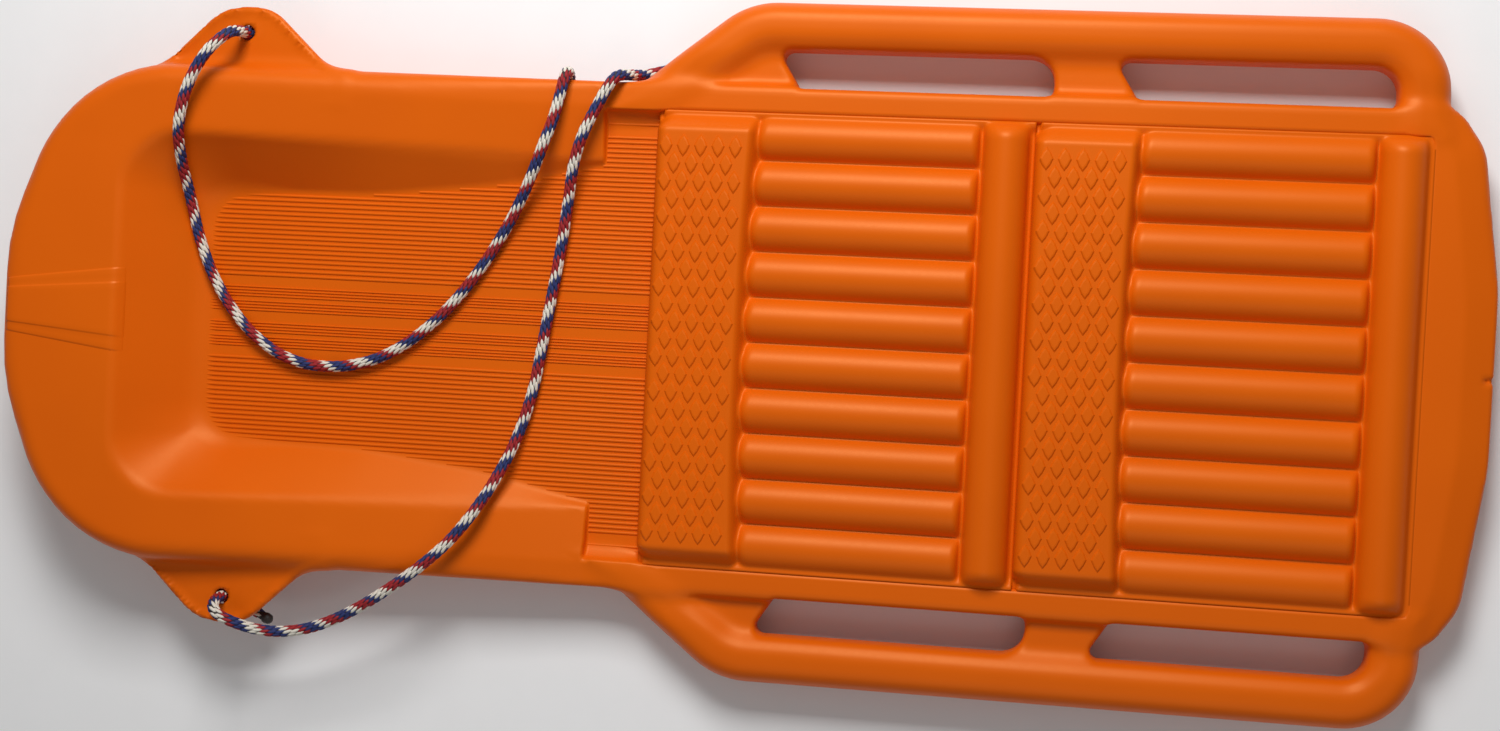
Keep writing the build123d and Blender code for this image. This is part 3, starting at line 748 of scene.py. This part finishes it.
def shell_field(plan, z):
    """Distance outside the shell, roughly, at height z."""
    hull, rail, inner, slots, lug, edge, hole, x, y, rail_top, top, under = plan
    body = rounded_meet([hull, z - top, under - z], edge)
    tube = rounded_meet([rail, inner, z - rail_top, rail_low.z - z], 0.0165)
    web = rounded_meet([rail + 10 * MM, -slots, z - web_top, web_low - z], 6 * MM)
    body = blend(blend(body, tube, 11 * MM), web, 11 * MM)
    body = blend_up(body, -slots, 4 * MM)
    rim_of_lug = lug_high.z - 2.2 * MM * ramp(-lug, 3 * MM, 6 * MM) * ramp(hole, 1 * MM, 3 * MM)
    ear = rounded_meet([lug, z - rim_of_lug, lug_low.z - z], 3.2 * MM)
    body = blend(body, ear, 12 * MM)
    body = blend_up(body, -hole, 2 * MM)
    pin = np.maximum(np.hypot(y, z - vent_z) - vent_radius, stern_x - 8 * MM - x)
    return blend_up(body, -pin, 1 * MM)


# %% [markdown]
# Surface nets turn the field into a mesh: each grid cell that the surface crosses gets
# one point, and each grid edge that it crosses gets one face between the four cells
# around it. The points are then moved onto the surface by following the field's slope,
# which makes the shading as smooth as the rule itself. The grid is finer where the form
# turns quickly.

# %% Surface nets
def uneven_axis(marks):
    """Grid lines from (start, spacing) pairs and a last end."""
    lines = []
    for (start, spacing), (end, _) in zip(marks, marks[1:]):
        count = max(1, round((end - start) / spacing))
        lines += [start + (end - start) * i / count for i in range(count)]
    return np.array(lines + [marks[-1][0]])


def net_cells(values, axes):
    """Mean crossing point of each cell that the surface passes, and the cells' numbers."""
    inside = values < 0
    count = sum(inside[a:a + inside.shape[0] - 1, b:b + inside.shape[1] - 1, c:c + inside.shape[2] - 1]
                .astype(np.int8) for a in (0, 1) for b in (0, 1) for c in (0, 1))
    cells = np.argwhere((count > 0) & (count < 8))
    total = np.zeros((len(cells), 3))
    hits = np.zeros(len(cells))
    for axis in range(3):
        others = [i for i in range(3) if i != axis]
        for a in (0, 1):
            for b in (0, 1):
                low = cells.copy()
                low[:, others[0]] += a
                low[:, others[1]] += b
                high = low.copy()
                high[:, axis] += 1
                v0, v1 = values[tuple(low.T)], values[tuple(high.T)]
                crossed = (v0 < 0) != (v1 < 0)
                share = np.where(crossed, v0 / np.where(v0 == v1, 1.0, v0 - v1), 0.0)
                p0 = np.stack([axes[i][low[:, i]] for i in range(3)], 1)
                p1 = np.stack([axes[i][high[:, i]] for i in range(3)], 1)
                total += np.where(crossed[:, None], p0 + share[:, None] * (p1 - p0), 0.0)
                hits += crossed
    return total / hits[:, None], cells


def net_faces(values, cells):
    """A face around each grid edge that the surface crosses."""
    number = np.full(values.shape, -1)
    number[tuple(cells.T)] = np.arange(len(cells))
    faces = []
    for axis in range(3):
        u, v = (axis + 1) % 3, (axis + 2) % 3
        first = np.take(values, range(values.shape[axis] - 1), axis) < 0
        second = np.take(values, range(1, values.shape[axis]), axis) < 0
        for mask, ahead in ((first & ~second, True), (second & ~first, False)):
            at = np.argwhere(mask)
            ring = []
            for du, dv in ((0, 0), (1, 0), (1, 1), (0, 1)):
                corner = at.copy()
                corner[:, u] -= du
                corner[:, v] -= dv
                ring.append(number[tuple(corner.T)])
            ring = np.stack(ring if ahead else ring[::-1], 1)
            faces.append(ring)
    return np.concatenate(faces)


def settle(points, plan_rule, field_rule, steps=2):
    """Moves points onto the surface along the field's slope."""
    small = 0.2 * MM
    for _ in range(steps):
        x, y, z = points.T
        plan = plan_rule(x, y)
        here = field_rule(plan, z)
        slope = np.stack([field_rule(plan_rule(x + small, y), z) - here,
                          field_rule(plan_rule(x, y + small), z) - here,
                          field_rule(plan, z + small) - here], 1) / small
        size = np.maximum((slope**2).sum(1), 0.25)
        move = -(here / size)[:, None] * slope
        reach = np.maximum(np.sqrt((move**2).sum(1)) / (1.2 * MM), 1.0)
        points = points + move / reach[:, None]
    return points


def solid_mesh(name, points, faces, finish):
    """A closed smooth mesh from points and faces."""
    mesh = bpy.data.meshes.new(name)
    mesh.from_pydata(points.tolist(), [], faces.tolist())
    mesh.update()
    work = bmesh.new()
    work.from_mesh(mesh)
    bmesh.ops.recalc_face_normals(work, faces=work.faces)
    work.to_mesh(mesh)
    work.free()
    return smooth_piece(name, mesh, finish)


# %% [markdown]
# Now the shell itself. It stands for the hull, the rim, the deck, the rails and the
# lugs, which are all one moulding on the real toboggan.

# %% Shell
margin = 6.0 * MM
along_x = uneven_axis([(nose_x - margin, 3.0 * MM), (-0.53, 3.6 * MM), (-0.43, 3.2 * MM), (-0.39, 4.2 * MM),
                       (-0.33, 4.6 * MM), (-0.118, 1.7 * MM), (-0.096, 3.6 * MM), (0.026, 2.7 * MM),
                       (0.058, 9.0 * MM), (0.232, 3.2 * MM), (0.328, 9.0 * MM), (0.488, 3.0 * MM),
                       (stern_x + margin, 0.0)])
half_y = uneven_axis([(0.0, 2.6 * MM), (0.008, 5.0 * MM), (0.098, 3.3 * MM), (0.178, 2.4 * MM),
                      (0.186, 3.3 * MM), (0.225, 2.8 * MM), (0.245, 3.6 * MM), (rail_high.y + margin, 0.0)])
across_y = np.concatenate([-half_y[:0:-1], half_y])
up_z = uneven_axis([(under_z - 0.0045, 3.3 * MM), (nose_top + margin, 0.0)])


def moulded_shell():
    """The whole moulding except its seats."""
    x, y = np.meshgrid(along_x, across_y, indexing="ij")
    plan = [term[:, :, None] for term in shell_plan(x, y)]
    values = shell_field(plan, up_z[None, None, :])
    points, cells = net_cells(values, (along_x, across_y, up_z))
    faces = net_faces(values, cells)
    points = settle(points, shell_plan, shell_field)
    return solid_mesh("moulded_shell", points, faces, plastic)


shell = moulded_shell()
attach(shell, "root")
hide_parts("hull_bottom", "nose_rim", "seat_deck", "stern_rim", "left_grab_rail",
            "right_grab_rail", "left_tow_lug", "right_tow_lug")
print("shell:", len(shell.data.polygons), "faces")

# %% [markdown]
# Each seat is three features that run into each other: a raised band under the thighs
# with a sloping back edge, ten soft rolls, and a bar behind them. Seen from above
# nothing overhangs, so a fine grid with one height at each place can hold it all, and
# soft maximums make the creases of the mould.

# %% Seat rules
seat_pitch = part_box("rear_thigh_band")[0].x - front_seat
rolls_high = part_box("front_seat_rolls")[1]
roll_valley, roll_crown = 39.0 * MM, rolls_high.z
roll_count = 10
front_bar_low, front_bar_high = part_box("front_back_bar")
seat_floor = 29.5 * MM
band_end = 80.5 * MM
seat_lap = 1.5 * MM


def rounded_end(distance, radius):
    """Quarter-round rise from 0 at an end to 1, a radius inside it."""
    t = np.clip(distance / radius, 0.0, 1.0)
    return np.sqrt(np.maximum(1 - (1 - t) ** 2, 0.0))


def seat_height(x, y, back):
    """Height of a seat, with x measured from its front edge, and a lip at its back."""
    y = np.abs(y)
    arc = band_end + 0.004 * (y / 0.165) ** 2.2
    low = roll_valley - 1.5 * MM + (deck_z - roll_valley + 1.4 * MM) * ramp(x, 0.0, 0.012)
    corner = np.hypot(np.maximum(0.016 - x, 0.0), np.maximum(y - seat_half + 0.016, 0.0))
    edge = rounded_end(np.minimum(x + 0.0005, 0.0165 - corner), 0.0085)
    side = ramp(seat_half - y, -0.001, 0.016)
    bevel = np.maximum(blend((arc - x) / 0.0065, np.ones_like(x), 0.5), 0.0)
    shoulder = low + (band_z - low) * side
    band = roll_valley - 1.5 * MM
    band += (shoulder - band) * bevel * (0.25 + 0.75 * edge)
    pitch = 2 * seat_half / roll_count
    off = np.mod(y, pitch) - pitch / 2
    rise = roll_crown - roll_valley
    bend = ((pitch / 2) ** 2 + rise**2) / (2 * rise)
    roll = np.sqrt(bend**2 - off**2) - (bend - rise)
    start = arc - 0.0045 + 0.0045 * (np.abs(off) / pitch * 2) ** 2
    ends = rounded_end(x - start, 0.009) * rounded_end(rolls_high.x - front_seat - 0.0015 - x, 0.007)
    rolls = roll_valley + roll * ends
    middle = (front_bar_low.x + front_bar_high.x) / 2 - front_seat
    half = (front_bar_high.x - front_bar_low.x) / 2
    t = np.clip(np.abs(x - middle) / half, 0.0, 1.0)
    bar = (1 - t**2) ** 0.55 * rounded_end(np.maximum(seat_half + 0.0005 - y, 0.0), 0.014)
    bar = roll_valley + (bar_z - roll_valley) * bar
    height = blend_up(blend_up(band, rolls, 2.5 * MM), bar, 2.5 * MM)
    inside = np.minimum(seat_half - y, back - x)
    lip = deck_z + 0.05 * MM - 5.5 * MM * ramp(inside, 0.0, 0.010)
    height = blend_up(height, lip - 13 * MM * ramp(x, 0.005, 0.0), 2.0 * MM)
    return np.minimum(height, bar_z)


def height_piece(name, x, y, heights, low, finish):
    """A closed block with a shaped top, over a grid of places in plan."""
    nx, ny = heights.shape
    grid = np.arange(nx * ny).reshape(nx, ny)
    top = np.stack([x.ravel(), y.ravel(), heights.ravel()], 1)
    rim = np.concatenate([grid[:-1, 0], grid[-1, :-1], grid[:0:-1, -1], grid[0, :0:-1]])
    foot = top[rim].copy()
    foot[:, 2] = low if np.isscalar(low) else low.ravel()[rim]
    faces = np.stack([grid[:-1, :-1], grid[1:, :-1], grid[1:, 1:], grid[:-1, 1:]], -1).reshape(-1, 4)
    count = len(rim)
    on = np.roll(np.arange(count), -1)
    base = nx * ny + np.arange(count)
    walls = np.stack([rim, nx * ny + np.arange(count), nx * ny + on, rim[on]], 1)
    mesh = bpy.data.meshes.new(name)
    mesh.from_pydata(np.concatenate([top, foot]).tolist(), [],
                     faces.tolist() + walls.tolist() + [base[::-1].tolist()])
    mesh.update()
    piece = smooth_piece(name, mesh, finish)
    mesh.polygons.foreach_set("use_smooth", np.arange(len(mesh.polygons)) < len(faces))
    return piece


# %% Seats
for seat_name, start, back in (("front", front_seat, 1.0), ("rear", front_seat + seat_pitch, 0.2995)):
    xs = np.linspace(0.0, seat_pitch, 188)
    ys = np.linspace(-seat_half - seat_lap, seat_half + seat_lap, 233)
    x, y = np.meshgrid(xs, ys, indexing="ij")
    seat = height_piece(seat_name + "_seat", start + x, y, seat_height(x, y, back), seat_floor, plastic)
    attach(seat, "root")
    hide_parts(seat_name + "_thigh_band", seat_name + "_seat_rolls", seat_name + "_back_bar")
    print(seat.name, len(seat.data.polygons), "faces")

# %% [markdown]
# Each band has a non-slip pattern of small raised lozenges. The tree sets rows 14 mm
# apart across the band, shifts every second row by half a pitch, and puts one faceted
# lozenge on each point.

# %% Lozenge tree
def lozenge_mesh():
    """One raised lozenge with a narrow facet all round, 1 m long and 1 m wide."""
    mesh = bmesh.new()
    rings = []
    for size, height in ((0.5, -0.5), (0.5, 0.15), (0.40, 0.85), (0.30, 1.0)):
        ring = []
        for step in range(8):
            angle = step * pi / 4
            pinch = 1.0 if step % 2 == 0 else 0.80
            ring.append(mesh.verts.new((size * pinch * cos(angle), size * pinch * sin(angle), height)))
        rings.append(ring)
    close_rings(mesh, rings)
    data = bpy.data.meshes.new("lozenge")
    mesh.to_mesh(data)
    mesh.free()
    return data


lozenge = link_mesh("lozenge_master", lozenge_mesh())
lozenge.hide_render = True


def lozenge_tree():
    """Lozenges in staggered rows around the point it is given."""
    tree = Tree("lozenges", Pitch="Float", Rows="Int", In_Row="Int", Shape="Object",
                Length="Float", Width="Float", Height="Float")
    take = tree.inputs
    count = tree.maths("MULTIPLY", take["Rows"], take["In_Row"])
    seeds = tree.add("GeometryNodeMeshLine", Count=count)[0]
    index = tree.add("GeometryNodeInputIndex")[0]
    row = tree.maths("FLOOR", tree.maths("DIVIDE", index, take["In_Row"]))
    place = tree.maths("MODULO", index, take["In_Row"])
    odd = tree.maths("MODULO", row, 2.0)
    middle_row = tree.maths("MULTIPLY", tree.maths("SUBTRACT", take["Rows"], 1.0), 0.5)
    middle = tree.maths("MULTIPLY", tree.maths("SUBTRACT", take["In_Row"], 1.0), 0.5)
    across = tree.maths("MULTIPLY", tree.maths("SUBTRACT", row, middle_row), take["Pitch"])
    shift = tree.maths("MULTIPLY", odd, 0.5)
    along = tree.maths("SUBTRACT", tree.maths("ADD", place, shift), middle)
    along = tree.maths("MULTIPLY", along, take["Pitch"])
    centre = tree.add("GeometryNodeSampleIndex", {"data_type": "FLOAT_VECTOR"},
                      Geometry=take["Geometry"], Value=tree.add("GeometryNodeInputPosition")[0])[0]
    offset = tree.add("ShaderNodeCombineXYZ", X=along, Y=across)[0]
    placed = tree.add("GeometryNodeSetPosition", Geometry=seeds,
                      Position=tree.shifted(centre, offset, 1.0))[0]
    last = tree.maths("COMPARE", place, tree.maths("SUBTRACT", take["In_Row"], 1.0))
    spare = tree.maths("MULTIPLY", last, odd)
    placed = tree.add("GeometryNodeDeleteGeometry", Geometry=placed, Selection=spare)[0]
    shape = tree.add("GeometryNodeObjectInfo", Object=take["Shape"])["Geometry"]
    sizes = tree.add("ShaderNodeCombineXYZ", X=take["Width"], Y=take["Length"], Z=take["Height"])[0]
    marks = tree.add("GeometryNodeInstanceOnPoints", Points=placed, Instance=shape, Scale=sizes)[0]
    return tree.finish(marks)


lozenges = lozenge_tree()
lozenge_pitch = 14.1 * MM
for seat_name, start in (("front", front_seat), ("rear", front_seat + seat_pitch)):
    centre = (start + 37.5 * MM, 0.0, band_z - 0.15 * MM)
    grip = grow(seat_name + "_grip_lozenges", guide_mesh("centre", [centre], []), lozenges, plastic,
                Pitch=lozenge_pitch, Rows=23, In_Row=5, Shape=lozenge, Length=19.0 * MM,
                Width=11.0 * MM, Height=1.5 * MM)
    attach(grip, "root")
    print(grip.name, len(grip.data.polygons), "faces")
bpy.data.objects.remove(lozenge)

# %% [markdown]
# The well's floor and the step behind it carry low treads that run fore and aft, close
# together, with finer ones in two groups near the middle. Each tread's front end is
# where the floor meets the nose wall or the side wall, found with the same outline that
# shaped the well.

# %% Treads
tread_pitch, tread_half, tread_rise = 3.95 * MM, 1.25 * MM, 1.0 * MM
fine_pitch, fine_half = 2.5 * MM, 0.75 * MM


def tread_front(y):
    """Where a tread at distance y from the middle starts."""
    if y > 0.1395:
        return rim_end + 0.001
    xs = np.linspace(nose_x + 0.140, front_seat, 900)
    free = outside(xs, np.full_like(xs, y), well_floor_outline) < -0.5 * MM
    return xs[np.argmax(free)]


def tread_tree():
    """A half-sunk bar with an oval section along each edge."""
    tree = Tree("treads", Half_Width="Float", Rise="Float")
    take = tree.inputs
    curve = tree.add("GeometryNodeMeshToCurve", Mesh=take["Geometry"])[0]
    curve = tree.add("GeometryNodeSetCurveNormal", {"mode": "Z_UP"}, Curve=curve)[0]
    ring = tree.add("GeometryNodeCurvePrimitiveCircle", Resolution=10, Radius=1.0)[0]
    sizes = tree.add("ShaderNodeCombineXYZ", X=take["Half_Width"], Y=take["Rise"], Z=1.0)[0]
    ring = tree.add("GeometryNodeTransform", Geometry=ring, Scale=sizes)[0]
    bars = tree.add("GeometryNodeCurveToMesh", Curve=curve, Profile_Curve=ring, Fill_Caps=True)[0]
    return tree.finish(tree.add("GeometryNodeSetShadeSmooth", s0=bars)[0])


treads = tread_tree()


def tread_guide(rows):
    """One edge for each tread, on both sides of the middle."""
    points = []
    for y in rows:
        for side in (-1, 1):
            points += [(tread_front(y), side * y, well_z), (front_seat + 0.001, side * y, well_z)]
    return guide_mesh("treads", points, [(i, i + 1) for i in range(0, len(points), 2)])


coarse = list(np.arange(0.1615, 0.0338, -tread_pitch)) + [0.1725, 0.1760]
fine = [start + i * fine_pitch for start in (0.0053, 0.0173) for i in range(4)]
for tread_name, rows, half in (("foot_well_treads", coarse, tread_half), ("middle_treads", fine, fine_half)):
    piece = grow(tread_name, tread_guide(rows), treads, plastic, Half_Width=half, Rise=tread_rise)
    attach(piece, "root")
    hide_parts("foot_tray")
    print(tread_name, len(rows) * 2, "treads")

# %% [markdown]
# A raised strip runs over the nose, widening towards the well, with a double step at
# each side. It is laid on the shell by casting rays down at it, so that it follows the
# shell's curve exactly.

# %% Nose strip
bpy.context.view_layer.update()
shell_tree = BVHTree.FromObject(shell, bpy.context.evaluated_depsgraph_get())


def shell_top(x, y):
    """Height of the shell at a place."""
    hit = shell_tree.ray_cast(Vector((x, y, 0.2)), Vector((0.0, 0.0, -1.0)))[0]
    return hit.z if hit else 0.0


def nose_strip():
    """Two thin plates, one on the other, bent over the nose."""
    xs = np.linspace(nose_x + 0.0045, nose_x + 0.1015, 50)
    outer, inner = 0.0215, 0.0140
    columns_of_y = []
    for edge in (inner, outer):
        columns_of_y += [edge - 0.7 * MM, edge - 0.25 * MM, edge + 0.25 * MM, edge + 0.7 * MM]
    offsets = sorted([0.0, 0.006, 0.0105, 0.0178] + columns_of_y)
    offsets = np.array([-v for v in offsets[:0:-1]] + offsets)
    spread = 1 + 0.62 * (xs - xs[0]) / (xs[-1] - xs[0])
    heights = np.zeros((len(xs), len(offsets)))
    across = np.outer(spread, offsets)
    for i, x in enumerate(xs):
        for j, y in enumerate(across[i]):
            width = abs(offsets[j])
            raised = 0.85 * MM * (1 - ramp(width, inner - 0.5 * MM, inner + 0.5 * MM))
            raised += 0.85 * MM * (1 - ramp(width, outer - 0.5 * MM, outer + 0.5 * MM))
            raised *= 1 - ramp(x, xs[-1] - 7 * MM, xs[-1])
            heights[i, j] = shell_top(x, y) + raised - 0.05 * MM
    along = np.repeat(xs[:, None], len(offsets), 1)
    return height_piece("nose_strip_moulding", along, across, heights, heights - 2.5 * MM, plastic)


strip = nose_strip()
print("strip:", len(strip.data.polygons), "faces")
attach(strip, "root")
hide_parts("nose_strip")

# %% [markdown]
# The two runners under the hull keep the frame's own shape. They only need the same
# plastic as the rest of the moulding.

# %% Runners
for node in ("left_runner", "right_runner"):
    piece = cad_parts[node]
    piece.data.materials.clear()
    piece.data.materials.append(plastic)
print("runners painted")

# %% [markdown]
# The floor is a pale sheet, and the light is a large soft box high on the riders' right,
# with a weaker one opposite and an even white surround.

# %% Floor and lights
floor_finish = Finish("pale_floor")
speck = floor_finish.noise(30.0, 2.0)
floor_finish.set(Base_Color=floor_finish.mix(speck, (0.96, 0.96, 0.96, 1.0), (0.93, 0.93, 0.93, 1.0)),
                 Roughness=0.9)
floor_mesh = bpy.data.meshes.new("floor")
floor_size = 6.0
floor_corners = ((-1, -1), (1, -1), (1, 1), (-1, 1))
floor_mesh.from_pydata([(x * floor_size, y * floor_size, 0.0) for x, y in floor_corners],
                       [], [(0, 1, 2, 3)])
floor_mesh.materials.append(floor_finish.material)
floor = link_mesh("floor", floor_mesh)


def soft_box(name, place, target, size, watts):
    """A square area light that faces a point."""
    data = bpy.data.lights.new(name, "AREA")
    data.size = size
    data.energy = watts
    light = bpy.data.objects.new(name, data)
    light.location = place
    light.rotation_euler = (Vector(target) - Vector(place)).to_track_quat("-Z", "Y").to_euler()
    bpy.context.scene.collection.objects.link(light)


soft_box("key_light", (0.0, 1.25, 1.35), (0.0, 0.0, 0.0), 0.7, 29.0)
soft_box("fill_light", (0.4, -1.6, 2.4), (0.0, 0.0, 0.0), 1.6, 7.0)
world = bpy.data.worlds.new("surround")
world.use_nodes = True
world.node_tree.nodes["Background"].inputs["Color"].default_value = (1.0, 1.0, 1.0, 1.0)
world.node_tree.nodes["Background"].inputs["Strength"].default_value = 0.19
bpy.context.scene.world = world
bpy.context.scene.view_settings.view_transform = "Standard"
